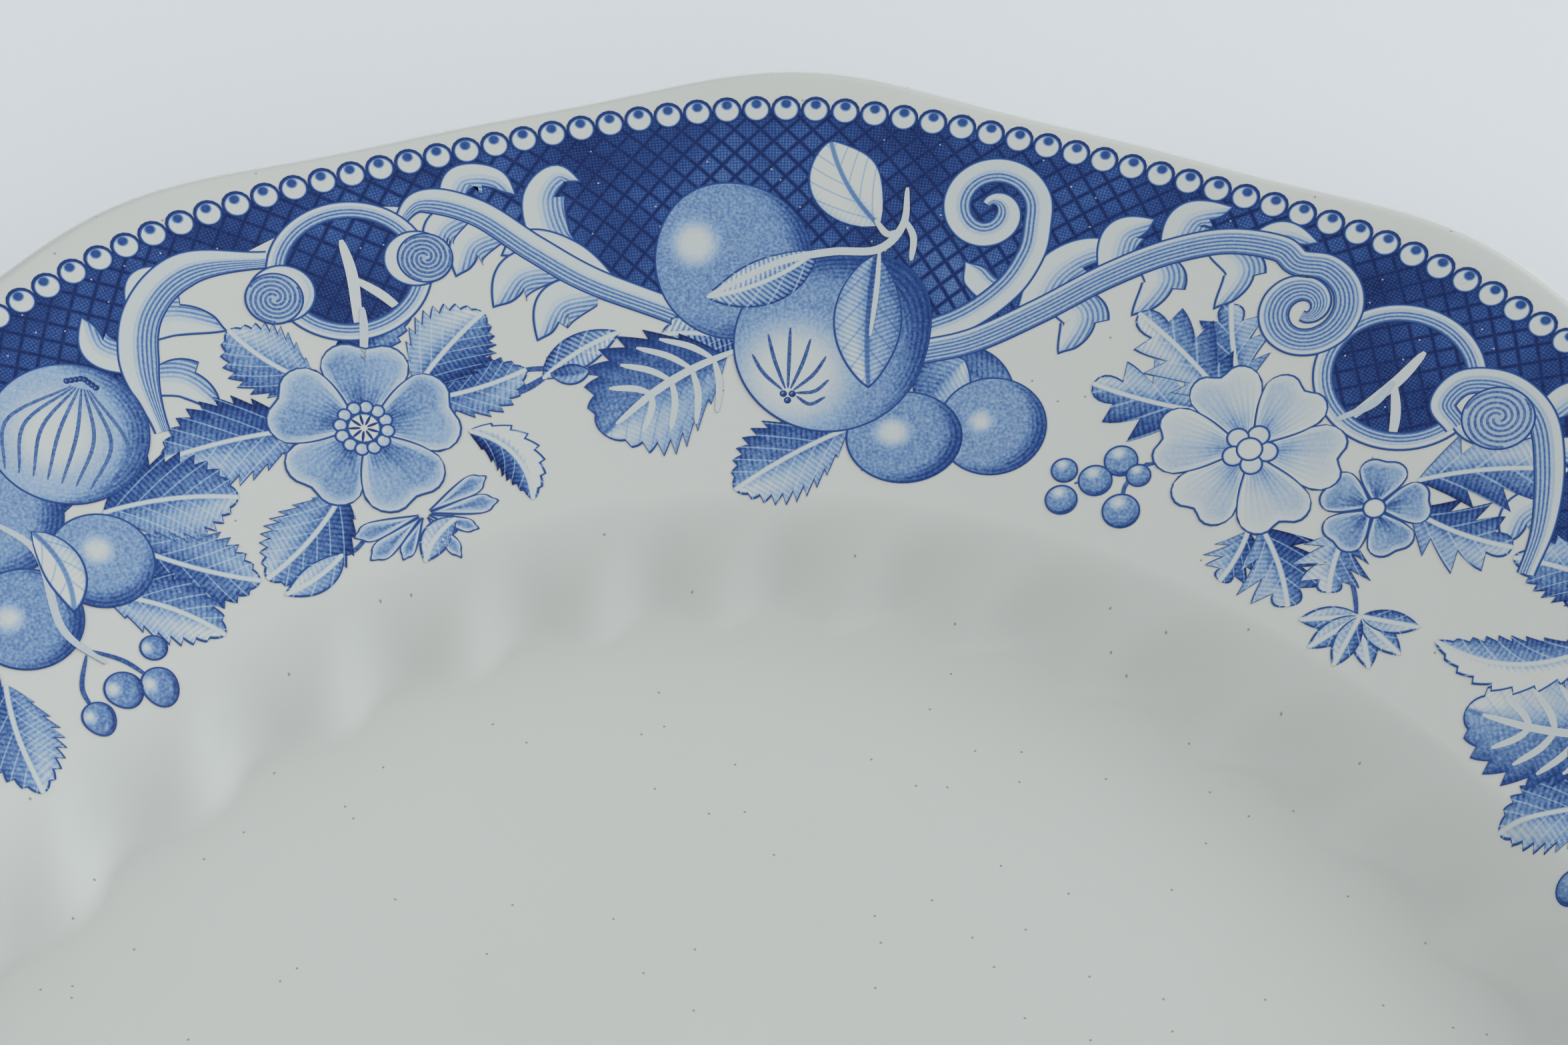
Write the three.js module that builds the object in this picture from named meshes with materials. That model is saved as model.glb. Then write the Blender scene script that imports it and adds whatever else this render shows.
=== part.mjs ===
// An oval china serving platter. A fired platter is one piece of earthenware; it is laid out here
// by the parts a potter names on it, from outside to inside: the lobed rim with its rounded lip,
// the fluted bouge that drops from the rim to the floor, the flat well, and the foot ring below.
// Each part is a closed solid, with a hairline joint to the next where the section changes.

import * as THREE from 'three';
import { ParametricGeometry } from 'three/addons/geometries/ParametricGeometry.js';

// Sizes in millimetres. The border line is the oval just inside the lip, where the rim's
// decoration starts. Widths across the rim are measured inwards from it, in plan.
const borderLength = 388;
const borderWidth = 301;
const borderHeight = 29.6;        // above the table
const lobes = 14;
const edgeMargin = 6.0;           // from the border line out to the lip, on average
const lobeDepth = 1.8;            // how far the lip swings out and in about that average
const lobePoint = 0.35;           // sharpens the valleys between lobes
const rimSlope = 15;              // degrees, falling inwards
const rimThickness = 5.2;
const rimWidth = 43;              // border line to the shoulder, on average
const bougeWidth = 11.5;          // shoulder to the floor, in plan
const bougeDrop = 9.2;
const ovalDifference = 4;         // rim wider by this at the ends, narrower by it at the sides
const flutesPerLobe = 3;
const fluteDepth = 0.8;
const fluteLean = 0.57;           // flutes lean anticlockwise by this share of a flute, going in
const scallop = 1.4;              // how far the foot of the flutes swings in and out
const wellThickness = 4.8;
const footWidth = 5.5;
const footInset = 1;              // outer side of the foot ring, in from the foot of the bouge
const joint = 0.3;

// How finely the rings are cut.
const rimStationsPerLobe = 8;
const stationsPerFlute = 6;
const footStations = 84;
const lipSteps = 6;
const bougeSteps = 5;

const turn = 2 * Math.PI;
const flutes = lobes * flutesPerLobe;
const border = new THREE.EllipseCurve(0, 0, borderLength / 2, borderWidth / 2);
border.arcLengthDivisions = 2000;

const glaze = { roughness: 0.16, metalness: 0 };
const creamGlaze = new THREE.MeshStandardMaterial({ name: 'cream_glaze', color: 0xdcdcd2, ...glaze });
const printedGlaze = new THREE.MeshStandardMaterial({ name: 'blue_print', color: 0x8d9fb6, ...glaze });

// Place on the platter from the distance travelled round the border line (0 to 1, anticlockwise
// from the +X end), the distance in from it, and the height.
function placeOn(travel, inwards, height, target) {
  const point = border.getPointAt(travel % 1);
  const outwards = new THREE.Vector2(point.x / borderLength ** 2, point.y / borderWidth ** 2).normalize();
  return target.set(point.x - outwards.x * inwards, point.y - outwards.y * inwards, height);
}

// The rim is a little wider at the ends of the oval than at its sides.
function ovalShift(travel) {
  return ovalDifference * Math.cos(2 * turn * travel);
}

function shoulder(travel) {
  return rimWidth + ovalShift(travel);
}

function edge(travel) {
  const lobe = turn * lobes * travel;
  return edgeMargin + lobeDepth * Math.cos(lobe) + lobePoint * Math.cos(2 * lobe);
}

function rimTop(inwards) {
  return borderHeight - inwards * Math.tan(THREE.MathUtils.degToRad(rimSlope));
}

// The bouge runs from the shoulder (share 0) to the floor (share 1). Its waves lean as they go
// in, and die out towards the shoulder.
function fluteWave(travel, share) {
  return Math.cos(turn * (flutes * travel - fluteLean * share));
}

function bougeFoot(travel) {
  return shoulder(travel) + bougeWidth + scallop * fluteWave(travel, 1);
}

// The floor is level, and the shoulder follows the oval, so the bouge's drop is set at the ends.
const floorHeight = rimTop(rimWidth + ovalDifference) - bougeDrop;
const wellUnderside = floorHeight - wellThickness;

// A closed ring. sectionAt gives, at each station, the same number of [inwards, height] corners,
// in order from the upper inner corner outwards over the top and back underneath.
function ring(stations, corners, sectionAt) {
  const sections = Array.from({ length: stations }, (_, i) => sectionAt(i / stations));
  const surface = (u, v, target) => {
    const corner = Math.round(u * corners) % corners;
    const station = Math.round(v * stations) % stations;
    placeOn(station / stations, ...sections[station][corner], target);
  };
  return new ParametricGeometry(surface, corners, stations);
}

function rimSection(travel) {
  const inner = shoulder(travel) - joint / 2;
  const radius = rimThickness / 2;
  const lipCentre = radius - edge(travel);
  const top = [inner, inner / 2, 0].map((inwards) => [inwards, rimTop(inwards)]);
  const lip = Array.from({ length: lipSteps + 1 }, (_, i) => {
    const angle = Math.PI * (0.5 + i / lipSteps);
    return [lipCentre + radius * Math.cos(angle), rimTop(lipCentre) - radius + radius * Math.sin(angle)];
  });
  const under = [inner / 2, inner].map((inwards) => [inwards, rimTop(inwards) - rimThickness]);
  return [...top, ...lip, ...under];
}

function bougeSection(travel) {
  const outer = shoulder(travel) + joint / 2;
  const inner = bougeFoot(travel) - joint / 2;
  const start = rimTop(outer);
  const top = Array.from({ length: bougeSteps + 1 }, (_, i) => {
    const share = 1 - i / bougeSteps;
    const fall = THREE.MathUtils.lerp(share, THREE.MathUtils.smoothstep(share, 0, 1), 0.6);
    const wave = fluteDepth * fluteWave(travel, share) * Math.sin(Math.PI * share);
    return [THREE.MathUtils.lerp(outer, inner, share), THREE.MathUtils.lerp(start, floorHeight, fall) + wave];
  });
  return [...top, [outer, start - rimThickness], [(outer + inner) / 2, (start - rimThickness + wellUnderside) / 2],
    [inner, wellUnderside]];
}

function wellGeometry() {
  const stations = flutes * stationsPerFlute;
  const outline = Array.from({ length: stations }, (_, i) => {
    const travel = i / stations;
    const place = placeOn(travel, bougeFoot(travel) + joint / 2, 0, new THREE.Vector3());
    return new THREE.Vector2(place.x, place.y);
  });
  return new THREE.ExtrudeGeometry(new THREE.Shape(outline), { depth: wellThickness, bevelEnabled: false });
}

// The foot ring tapers a little towards the table, so that it leaves the mould.
function footSection(travel) {
  const outer = shoulder(travel) + bougeWidth + footInset;
  const inner = outer + footWidth;
  const top = wellUnderside - joint;
  const taper = footWidth / 8;
  return [[inner, top], [outer, top], [outer + taper, 0], [inner - taper, 0]];
}

function part(name, geometry, material, height = 0) {
  const mesh = new THREE.Mesh(geometry, material);
  mesh.name = name;
  mesh.position.z = height;
  return mesh;
}

const platter = new THREE.Group();
platter.add(
  part('rim', ring(lobes * rimStationsPerLobe, 3 + lipSteps + 1 + 2, rimSection), printedGlaze),
  part('bouge', ring(flutes * stationsPerFlute, bougeSteps + 1 + 3, bougeSection), creamGlaze),
  part('well', wellGeometry(), creamGlaze, wellUnderside),
  part('foot_ring', ring(footStations, 4, footSection), creamGlaze),
);

export default platter;
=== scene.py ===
"""An oval china serving platter: cream earthenware, a cobalt transfer border and a clear glaze."""

import functools

import bpy
import numpy as np
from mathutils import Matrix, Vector


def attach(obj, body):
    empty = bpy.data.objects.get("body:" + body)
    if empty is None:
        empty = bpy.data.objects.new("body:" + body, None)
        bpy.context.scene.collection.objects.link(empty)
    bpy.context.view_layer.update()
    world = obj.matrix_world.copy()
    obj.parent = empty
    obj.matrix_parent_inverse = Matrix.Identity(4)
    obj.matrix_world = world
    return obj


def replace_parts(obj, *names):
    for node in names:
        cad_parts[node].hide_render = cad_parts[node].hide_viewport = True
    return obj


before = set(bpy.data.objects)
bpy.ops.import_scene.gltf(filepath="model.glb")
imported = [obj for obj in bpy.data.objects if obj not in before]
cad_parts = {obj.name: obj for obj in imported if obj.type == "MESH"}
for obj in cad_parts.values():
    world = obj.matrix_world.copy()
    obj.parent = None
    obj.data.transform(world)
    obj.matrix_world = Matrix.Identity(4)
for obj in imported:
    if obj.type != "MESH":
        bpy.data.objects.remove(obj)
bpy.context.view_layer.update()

bl_info = {
    "name": "China serving platter",
    "version": (1, 0, 0),
    "blender": (4, 5, 0),
    "location": "View3D > Sidebar > Platter",
    "description": "Makes an oval transfer-printed serving platter, piece by piece",
    "category": "Add Mesh",
}

MM = 0.001
TURN = 2 * np.pi

# The border line is the oval just inside the lip. Places on the rim are given as the distance
# along it, clockwise from the -X end of the platter, and the distance in from it, in millimetres.
LOBES = 14
FLUTES = 42
FLUTE_LEAN = 0.57           # how far a flute leans over its height, as a share of one flute
STATIONS = 24 * FLUTES
REPEATS = 4                 # how many times the border's drawing goes round the platter
REPEAT = 271.0              # length of one drawing along the border line
BEADS = 320
AROUND = REPEAT * REPEATS   # length of the border line as it is drawn
FILM_STEP = 0.012           # each layer of the print stands this far above the one below
LEAST_STEP = 0.07           # the least that one patch lies over the next, in layers
FILM_ROOT = 0.05            # how far each layer's underside reaches down into the body


def metres(name, mm, description):
    """A length in the panel, in metres, from its default in millimetres."""
    return bpy.props.FloatProperty(
        name=name, description=description, default=mm * MM, min=0.0, precision=5,
        subtype="DISTANCE", unit="LENGTH",
    )


def linear(hex_code):
    """The linear colour of an sRGB hex value such as #1a2b3c."""
    srgb = np.array([int(hex_code[i:i + 2], 16) for i in (1, 3, 5)]) / 255
    low = srgb <= 0.04045
    return tuple(np.where(low, srgb / 12.92, ((srgb + 0.055) / 1.055) ** 2.4)) + (1.0,)


def colour(name, hex_code, description):
    """A colour in the panel, from its default as an sRGB hex value."""
    return bpy.props.FloatVectorProperty(
        name=name, description=description, default=linear(hex_code), size=4,
        min=0.0, max=1.0, subtype="COLOR",
    )


class PlatterForm(bpy.types.PropertyGroup):
    """Sizes of the fired body."""

    border_length: metres("Border length", 388, "Long axis of the border line")
    border_width: metres("Border width", 301, "Short axis of the border line")
    border_height: metres("Border height", 29.6, "Height of the border line above the table")
    edge_margin: metres("Edge margin", 5.88, "From the border line out to the lip, on average")
    lobe_depth: metres("Lobe depth", 1.8, "How far the lip swings out and in")
    lobe_point: metres("Lobe point", 0.35, "Sharpens the valleys between lobes")
    rim_slope: bpy.props.FloatProperty(
        name="Rim slope", description="Fall of the rim towards the well",
        default=np.radians(15), subtype="ANGLE", unit="ROTATION",
    )
    rim_thickness: metres("Rim thickness", 5.2, "Thickness of the rim")
    rim_width: metres("Rim width", 43, "Border line to shoulder, on average")
    oval_difference: metres("Oval difference", 4, "How much wider the rim is at the ends")
    bouge_width: metres("Bouge width", 11.5, "Shoulder to floor, in plan")
    bouge_drop: metres("Bouge drop", 9.2, "Fall of the bouge at the ends")
    flute_depth: metres("Flute depth", 0.8, "Height of the flutes' waves")
    scallop: metres("Scallop", 1.4, "How far the foot of the flutes swings in and out")
    well_thickness: metres("Well thickness", 4.8, "Thickness of the floor")
    foot_width: metres("Foot width", 5.5, "Width of the foot ring")
    foot_inset: metres("Foot inset", 1.0, "Foot ring in from the foot of the bouge")


class PlatterColours(bpy.types.PropertyGroup):
    """Colours of the body and of the cobalt ink, from its thinnest wash to its thickest."""

    cream: colour("Cream", "#DADEDA", "Fired body under the glaze")
    wash: colour("Wash", "#A3BDD8", "Palest blue")
    middle: colour("Middle", "#6F94C4", "Middle blue")
    deep: colour("Deep", "#2F559B", "Deep blue")
    darkest: colour("Darkest", "#0D1F58", "Thickest ink")


class PlatterStage(bpy.types.PropertyGroup):
    """The floor, the lights and the view."""

    floor: colour("Floor", "#F1F5F8", "Plain pale floor")
    daylight: bpy.props.FloatProperty(
        name="Daylight", description="Strength of the even light", default=0.31,
    )
    softbox: bpy.props.FloatProperty(
        name="Softbox", description="Power that the softboxes share out", default=13.4, unit="POWER",
    )
    lens: bpy.props.FloatProperty(
        name="Lens", description="Focal length in millimetres on a 36 mm frame", default=92.6,
    )


class Form:
    """The platter's surface worked out from the panel's sizes. Everything in it is in millimetres."""

    def __init__(self, sizes):
        mm = {key: getattr(sizes, key) / MM for key in (
            "border_length", "border_width", "border_height", "edge_margin", "lobe_depth",
            "lobe_point", "rim_thickness", "rim_width", "oval_difference", "bouge_width",
            "bouge_drop", "flute_depth", "scallop", "well_thickness", "foot_width", "foot_inset",
        )}
        self.mm = mm
        self.half = np.array([mm["border_length"], mm["border_width"]]) / 2
        self.slope = np.tan(sizes.rim_slope)
        self.angles = np.linspace(0, TURN, 8001)
        steps = np.diff(self.oval(self.angles), axis=0)
        self.lengths = np.concatenate([[0], np.cumsum(np.hypot(*steps.T))])
        self.perimeter = self.lengths[-1]
        self.floor = self.rim_top(mm["rim_width"] + mm["oval_difference"]) - mm["bouge_drop"]
        self.underside = self.floor - mm["well_thickness"]

    def oval(self, angle):
        """The border line by angle: half the length by the cosine, half the width by the sine."""
        return np.stack([self.half[0] * np.cos(angle), self.half[1] * np.sin(angle)], axis=-1)

    def outwards(self, angle):
        """The oval's outward direction in plan: the gradient of its equation, at length one."""
        way = np.stack([np.cos(angle) / self.half[0], np.sin(angle) / self.half[1]], axis=-1)
        return way / np.linalg.norm(way, axis=-1, keepdims=True)

    def place(self, travel, inwards):
        """Plan point at a share of the way round (anticlockwise from +X) and a distance in."""
        angle = np.interp(np.mod(travel, 1) * self.perimeter, self.lengths, self.angles)
        return self.oval(angle) - self.outwards(angle) * np.asarray(inwards)[..., None]

    def foot_point(self, points):
        """Travel and distance in of plan points, by Newton steps to the nearest point of the oval."""
        a, b = self.half
        angle = np.arctan2(points[..., 1] * a, points[..., 0] * b)
        for _ in range(7):
            cos, sin = np.cos(angle), np.sin(angle)
            gap = np.stack([a * cos, b * sin], axis=-1) - points
            along = gap[..., 0] * -a * sin + gap[..., 1] * b * cos
            bend = (a * sin) ** 2 + (b * cos) ** 2 - gap[..., 0] * a * cos - gap[..., 1] * b * sin
            angle = angle - along / bend
        gap = self.oval(angle) - points
        inwards = np.sum(gap * self.outwards(angle), axis=-1)
        travel = np.interp(np.mod(angle, TURN), self.angles, self.lengths) / self.perimeter
        return travel, inwards

    def shoulder(self, travel):
        """Where the rim ends: further in at the ends of the oval than at its sides."""
        return self.mm["rim_width"] + self.mm["oval_difference"] * np.cos(2 * TURN * travel)

    def edge(self, travel):
        """How far the lip stands out: a cosine of the lobes, and one of twice as many that
        sharpens its valleys."""
        lobe = TURN * LOBES * travel
        swing = self.mm["lobe_depth"] * np.cos(lobe) + self.mm["lobe_point"] * np.cos(2 * lobe)
        return self.mm["edge_margin"] + swing

    def rim_top(self, inwards):
        return self.mm["border_height"] - inwards * self.slope

    def flute_wave(self, travel, share):
        """A cosine that goes round once a flute, and leans anticlockwise as it goes in."""
        return np.cos(TURN * (FLUTES * travel - FLUTE_LEAN * share))

    def bouge_foot(self, travel):
        scallop = self.mm["scallop"] * self.flute_wave(travel, 1)
        return self.shoulder(travel) + self.mm["bouge_width"] + scallop

    def top(self, travel, inwards):
        """Height of the glazed top: a straight fall over the rim, then a cubic that leaves at the
        rim's slope and meets the floor level, with the flutes' waves on it, then the floor."""
        start, end = self.shoulder(travel), self.bouge_foot(travel)
        share = np.clip((inwards - start) / (end - start), 0, 1)
        lean_in = share * (1 - share) ** 2
        fall = share ** 2 * (3 - 2 * share)
        high = self.rim_top(start)
        curve = high + (self.floor - high) * fall - self.slope * (end - start) * lean_in
        wave = self.mm["flute_depth"] * self.flute_wave(travel, share) * np.sin(np.pi * share) ** 2
        return np.where(inwards < start, self.rim_top(inwards), curve + wave)

    def height(self, points):
        return self.top(*self.foot_point(points))

    def lift(self, points, above):
        """Lays plan points on the glazed top, raised along its normal. Gives points and normals."""
        step = 0.02
        level = self.height(points)
        rise_x = (self.height(points + [step, 0]) - level) / step
        rise_y = (self.height(points + [0, step]) - level) / step
        normal = np.stack([-rise_x, -rise_y, np.ones_like(level)], axis=-1)
        normal /= np.linalg.norm(normal, axis=-1, keepdims=True)
        laid = np.concatenate([points, level[..., None]], axis=-1)
        return laid + normal * above, normal


def form():
    return Form(bpy.context.scene.platter_form)


# Meshes -----------------------------------------------------------------------------------------

SHARP = 0.6                 # edges that turn by more than this many radians stay sharp


def new_piece(name, points, faces, material):
    """A mesh object at the origin from points in millimetres and four-cornered faces, smooth
    except where it turns by more than SHARP."""
    mesh = bpy.data.meshes.new(name)
    mesh.vertices.add(len(points))
    mesh.vertices.foreach_set("co", (points * MM).astype(np.float32).ravel())
    mesh.loops.add(faces.size)
    mesh.loops.foreach_set("vertex_index", faces.astype(np.int32).ravel())
    mesh.polygons.add(len(faces))
    mesh.polygons.foreach_set("loop_start", np.arange(0, faces.size, 4, dtype=np.int32))
    mesh.update(calc_edges=True)
    mesh.validate()
    mesh.shade_smooth()
    mesh.set_sharp_from_angle(angle=SHARP)
    mesh.materials.append(material)
    piece = bpy.data.objects.new(name, mesh)
    bpy.context.collection.objects.link(piece)
    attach(piece, "root")
    return piece


def ring_faces(stations, corners):
    """Faces of a grid that closes on itself both ways, facing out of a section that runs from its
    upper inner corner outwards over the top."""
    i, j = np.meshgrid(np.arange(stations), np.arange(corners), indexing="ij")
    i_next, j_next = (i + 1) % stations, (j + 1) % corners
    quads = [i * corners + j, i * corners + j_next, i_next * corners + j_next, i_next * corners + j]
    return np.stack(quads, axis=-1).reshape(-1, 4)


def ring_piece(name, shape, section):
    """A closed ring. section gives arrays of distance in and height, one row for each station."""
    travel = np.arange(STATIONS)[:, None] / STATIONS
    inwards, height = section(shape, travel)
    points = np.concatenate([shape.place(travel, inwards), height[..., None]], axis=-1)
    faces = ring_faces(*inwards.shape)
    return new_piece(name, points.reshape(-1, 3), faces, cream_glazed_earthenware())


def arc(start, end, steps):
    """Cosines and sines of evenly spaced angles, given in turns."""
    return toward(np.linspace(start, end, steps) * TURN).T


def toward(angle, length=1.0):
    """The plan vector, or an array of them, at an angle and of a length."""
    return np.stack([length * np.cos(angle), length * np.sin(angle)], axis=-1)


# Materials --------------------------------------------------------------------------------------

PLUS, MINUS, TIMES, TIMES_PLUS, LARGER, ZIGZAG, BELOW, ABOVE, SIZE = (
    {"operation": operation} for operation in (
        "ADD", "SUBTRACT", "MULTIPLY", "MULTIPLY_ADD", "MAXIMUM", "PINGPONG", "LESS_THAN",
        "GREATER_THAN", "ABSOLUTE",
    )
)
SOFT = {"interpolation_type": "SMOOTHSTEP"}


def add(tree, kind, settings=None, *inputs, **named):
    """Adds a node of a kind, sets its properties, and links or sets its inputs: first those given
    in order, then those given by name, in lower case with _ for spaces, or as in0, in1 and so on
    for their number. A node given as an input stands for its first output."""
    node = tree.nodes.new("ShaderNode" + kind)
    for key, value in (settings or {}).items():
        setattr(node, key, value)
    sockets = {f"in{number}": socket for number, socket in enumerate(node.inputs)}
    for socket in reversed(list(node.inputs)):
        sockets[socket.name.lower().replace(" ", "_")] = socket
    pairs = [*zip(node.inputs, inputs), *((sockets[key], value) for key, value in named.items())]
    for socket, value in pairs:
        if isinstance(value, bpy.types.Node):
            value = value.outputs[0]
        if isinstance(value, bpy.types.NodeSocket):
            tree.links.new(value, socket)
        else:
            socket.default_value = value
    return node


def made_once(fill):
    """Turns a function that fills a node tree into one that gives the material of its name, made
    when it is first asked for."""
    @functools.wraps(fill)
    def material():
        found = bpy.data.materials.get(fill.__name__)
        if not found:
            found = bpy.data.materials.new(fill.__name__)
            found.use_nodes = True
            found.node_tree.nodes.clear()
            fill(found.node_tree)
        return found
    return material


def place_on(tree):
    """The place on the platter, in metres."""
    return add(tree, "TexCoord").outputs["Object"]


def pattern(tree, name):
    """The two numbers that a print piece carries as its UV map of a name."""
    split = add(tree, "SeparateXYZ", None, add(tree, "UVMap", {"uv_map": name}))
    return split.outputs["X"], split.outputs["Y"]


def clear_glaze(tree, base):
    """Clear glaze over a coloured body: glass-like gloss of IOR 1.5, and a surface that is not
    quite level, with swells some 12 mm across and finer ripples 2 mm across."""
    place = place_on(tree)
    swell = add(tree, "TexNoise", vector=place, scale=80.0, detail=2.0, roughness=0.5)
    ripple = add(tree, "TexNoise", vector=place, scale=500.0, detail=1.0)
    swollen = add(tree, "Bump", strength=0.22, distance=0.0006, height=swell)
    rippled = add(tree, "Bump", strength=0.08, distance=0.0001, height=ripple, normal=swollen)
    shader = add(tree, "BsdfPrincipled", base_color=base, roughness=0.07, ior=1.5, normal=rippled)
    add(tree, "OutputMaterial", None, shader)


def scattered(tree, cell, share):
    """Dots strewn over the plan: how far a place is from the nearest, in cells of so many
    millimetres, and 1 where that dot belongs to the chosen share of them."""
    flat = {"voronoi_dimensions": "2D"}
    dots = add(tree, "TexVoronoi", flat, vector=place_on(tree), scale=1 / (cell * MM))
    chance = add(tree, "TexWhiteNoise", {"noise_dimensions": "2D"}, vector=dots.outputs["Position"])
    return dots, add(tree, "Math", BELOW, chance, share)


@made_once
def cream_glazed_earthenware(tree):
    """Cream earthenware, pressed and glazed: a warm grey-white with a faint mottle in patches
    some 36 mm across, and a few specks of iron from the clay."""
    cream = np.array(bpy.context.scene.platter_colours.cream)
    darker = cream * (0.86, 0.85, 0.8, 1.0)
    blend = {"data_type": "RGBA"}
    mottle = add(tree, "TexNoise", vector=place_on(tree), scale=28.0, detail=4.0)
    shade = add(tree, "MapRange", None, mottle, 0.3, 0.7, 0.0, 0.10)
    body = add(tree, "Mix", blend, shade, in6=tuple(cream), in7=tuple(darker)).outputs[2]
    # Specks 0.2 to 0.3 mm across, about one to a square centimetre.
    away, chosen = scattered(tree, 4.0, 0.16)
    near = add(tree, "MapRange", None, away, 0.018, 0.045, 0.6, 0.0)
    speck = add(tree, "Math", TIMES, chosen, near)
    spotted = add(tree, "Mix", blend, speck, in6=body, in7=linear("#6B625A")).outputs[2]
    clear_glaze(tree, spotted)


def glazed_ink(tree, tone):
    """Ink under the glaze, its colour by its tone from 0, bare body, to 1, the thickest ink."""
    colours = bpy.context.scene.platter_colours
    ramp = add(tree, "ValToRGB", None, tone)
    stops = (
        (0.0, colours.cream), (0.3, colours.wash), (0.5, colours.middle), (0.75, colours.deep),
        (1.0, colours.darkest),
    )
    elements = ramp.color_ramp.elements
    while len(elements) < len(stops):
        elements.new(0.5)
    for element, (position, shade) in zip(elements, stops):
        element.position = position
        element.color = shade
    clear_glaze(tree, ramp)


def stripes(tree, phase, share, softness):
    """1 on the lines of a pattern that repeats every whole number of phase, and 0 between them."""
    away = add(tree, "Math", ZIGZAG, phase, 0.5)
    return add(tree, "MapRange", SOFT, away, share / 2 - softness, share / 2 + softness, 1.0, 0.0)


def stipple(tree):
    """Grain of the engraved stipple, cells of about 0.33 mm, from -0.5 to 0.5."""
    grain = add(tree, "TexNoise", vector=place_on(tree), scale=3000.0, detail=0.0)
    return add(tree, "Math", MINUS, grain, 0.5)


@made_once
def cobalt_transfer_print(tree):
    """Cobalt ink printed from an engraved plate. Tones come from washes, from ruled lines and from
    stipple, with a dark contour round each form, and veins that are dark where their strength is
    above 0 and bare where it is below."""
    tone, hatch, vein = (
        add(tree, "Attribute", {"attribute_name": name}).outputs["Fac"] for name in Patch.VALUES
    )
    phase, contour = pattern(tree, "lines")
    vein_phase, rib = pattern(tree, "veins")
    ruled = add(tree, "Math", TIMES, stripes(tree, phase, 0.42, 0.2), hatch)
    ink = add(tree, "Math", TIMES_PLUS, ruled, 0.5, tone)
    grain = add(tree, "Math", TIMES, stipple(tree), add(tree, "Math", ZIGZAG, tone, 0.5))
    ink = add(tree, "Math", TIMES_PLUS, grain, 0.9, ink)
    # A contour 0.3 mm wide, softened a little by the glaze.
    ink = add(tree, "Math", LARGER, ink, add(tree, "MapRange", SOFT, contour, 0.12, 0.36, 0.78, 0.0))
    midrib = add(tree, "MapRange", SOFT, rib, 0.15, 0.4, 1.0, 0.0)
    side_ribs = add(tree, "Math", TIMES, stripes(tree, vein_phase, 0.1, 0.05), 0.55)
    strength = add(tree, "Math", LARGER, midrib, side_ribs)
    strength = add(tree, "Math", TIMES, strength, add(tree, "Math", SIZE, vein))
    goal = add(tree, "Math", TIMES_PLUS, add(tree, "Math", ABOVE, vein, 0.0), 0.85, 0.03)
    glazed_ink(tree, add(tree, "Mix", {"data_type": "FLOAT"}, strength, in2=ink, in3=goal))


@made_once
def cobalt_lattice_print(tree):
    """The dark ground: diamonds of fine cross-hatching between heavier ruled lines, the cells
    3.1 mm from corner to corner, with the ink laid a little unevenly."""
    along, inwards = pattern(tree, "lines")
    heavy = add(tree, "Math", LARGER, *(
        stripes(tree, add(tree, "Math", slant, along, inwards), 0.34, 0.12) for slant in (PLUS, MINUS)
    ))
    # The weave of the cells, threads 0.38 mm apart.
    weave = add(tree, "Math", TIMES, *(
        stripes(tree, add(tree, "Math", TIMES, way, 8.0), 0.5, 0.25) for way in (along, inwards)
    ))
    pool = add(tree, "TexNoise", vector=place_on(tree), scale=90.0, detail=2.0)
    tone = add(tree, "Math", TIMES_PLUS, weave, -0.24, 0.56)
    tone = add(tree, "Math", TIMES_PLUS, pool, 0.5, tone)
    # Thicker ink in the first three cells under the beads.
    under_beads = add(tree, "MapRange", None, inwards, 0.0, 3.0, 0.09, 0.0)
    tone = add(tree, "Math", PLUS, tone, under_beads)
    tone = add(tree, "Math", LARGER, tone, add(tree, "Math", TIMES, heavy, 0.95))
    # Pinholes 0.2 mm across that the ink missed.
    away, chosen = scattered(tree, 3.0, 0.25)
    missed = add(tree, "Math", TIMES, add(tree, "Math", BELOW, away, 0.035), chosen)
    tone = add(tree, "Math", TIMES_PLUS, missed, -0.7, tone)
    glazed_ink(tree, add(tree, "Math", TIMES_PLUS, stipple(tree), 0.12, tone))


@made_once
def cobalt_bead_print(tree):
    """One printed bead: a blue outline, a bare disc, and a blue pupil set towards the lip."""
    place = add(tree, "UVMap", {"uv_map": "lines"})
    # Each by its middle, the distances where it starts and ends, and its tones there.
    outline, pupil = (
        add(tree, "MapRange", SOFT, add(
            tree, "VectorMath", {"operation": "DISTANCE"}, place, (0.0, middle, 0.0),
        ).outputs["Value"], *fade)
        for middle, fade in ((-0.12, (1.04, 1.32, 0.0, 0.86)), (0.55, (0.36, 0.72, 0.74, 0.0)))
    )
    tone = add(tree, "Math", LARGER, outline, pupil)
    glazed_ink(tree, add(tree, "Math", TIMES_PLUS, stipple(tree), 0.12, tone))


# Body -------------------------------------------------------------------------------------------

def rim_section(shape, travel):
    """The rim's section: straight fall over the top, a half-round lip, and an underside parallel
    to the top that turns into it with an easy bend."""
    inner = shape.shoulder(travel)
    radius = shape.mm["rim_thickness"] / 2
    centre = radius - shape.edge(travel)
    across = np.linspace(1, 0, 15)[:-1]
    top = centre + (inner - centre) * across
    cos, sin = arc(0.25, 0.75, 17)
    lip_height = shape.rim_top(centre) - radius
    under = centre + (inner - centre) * np.linspace(0, 1, 13)[1:]
    inwards = np.concatenate([top, centre + radius * cos, under], axis=1)
    height = np.concatenate(
        [shape.rim_top(top), lip_height + radius * sin, shape.rim_top(under) - 2 * radius], axis=1,
    )
    return inwards, height


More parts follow.
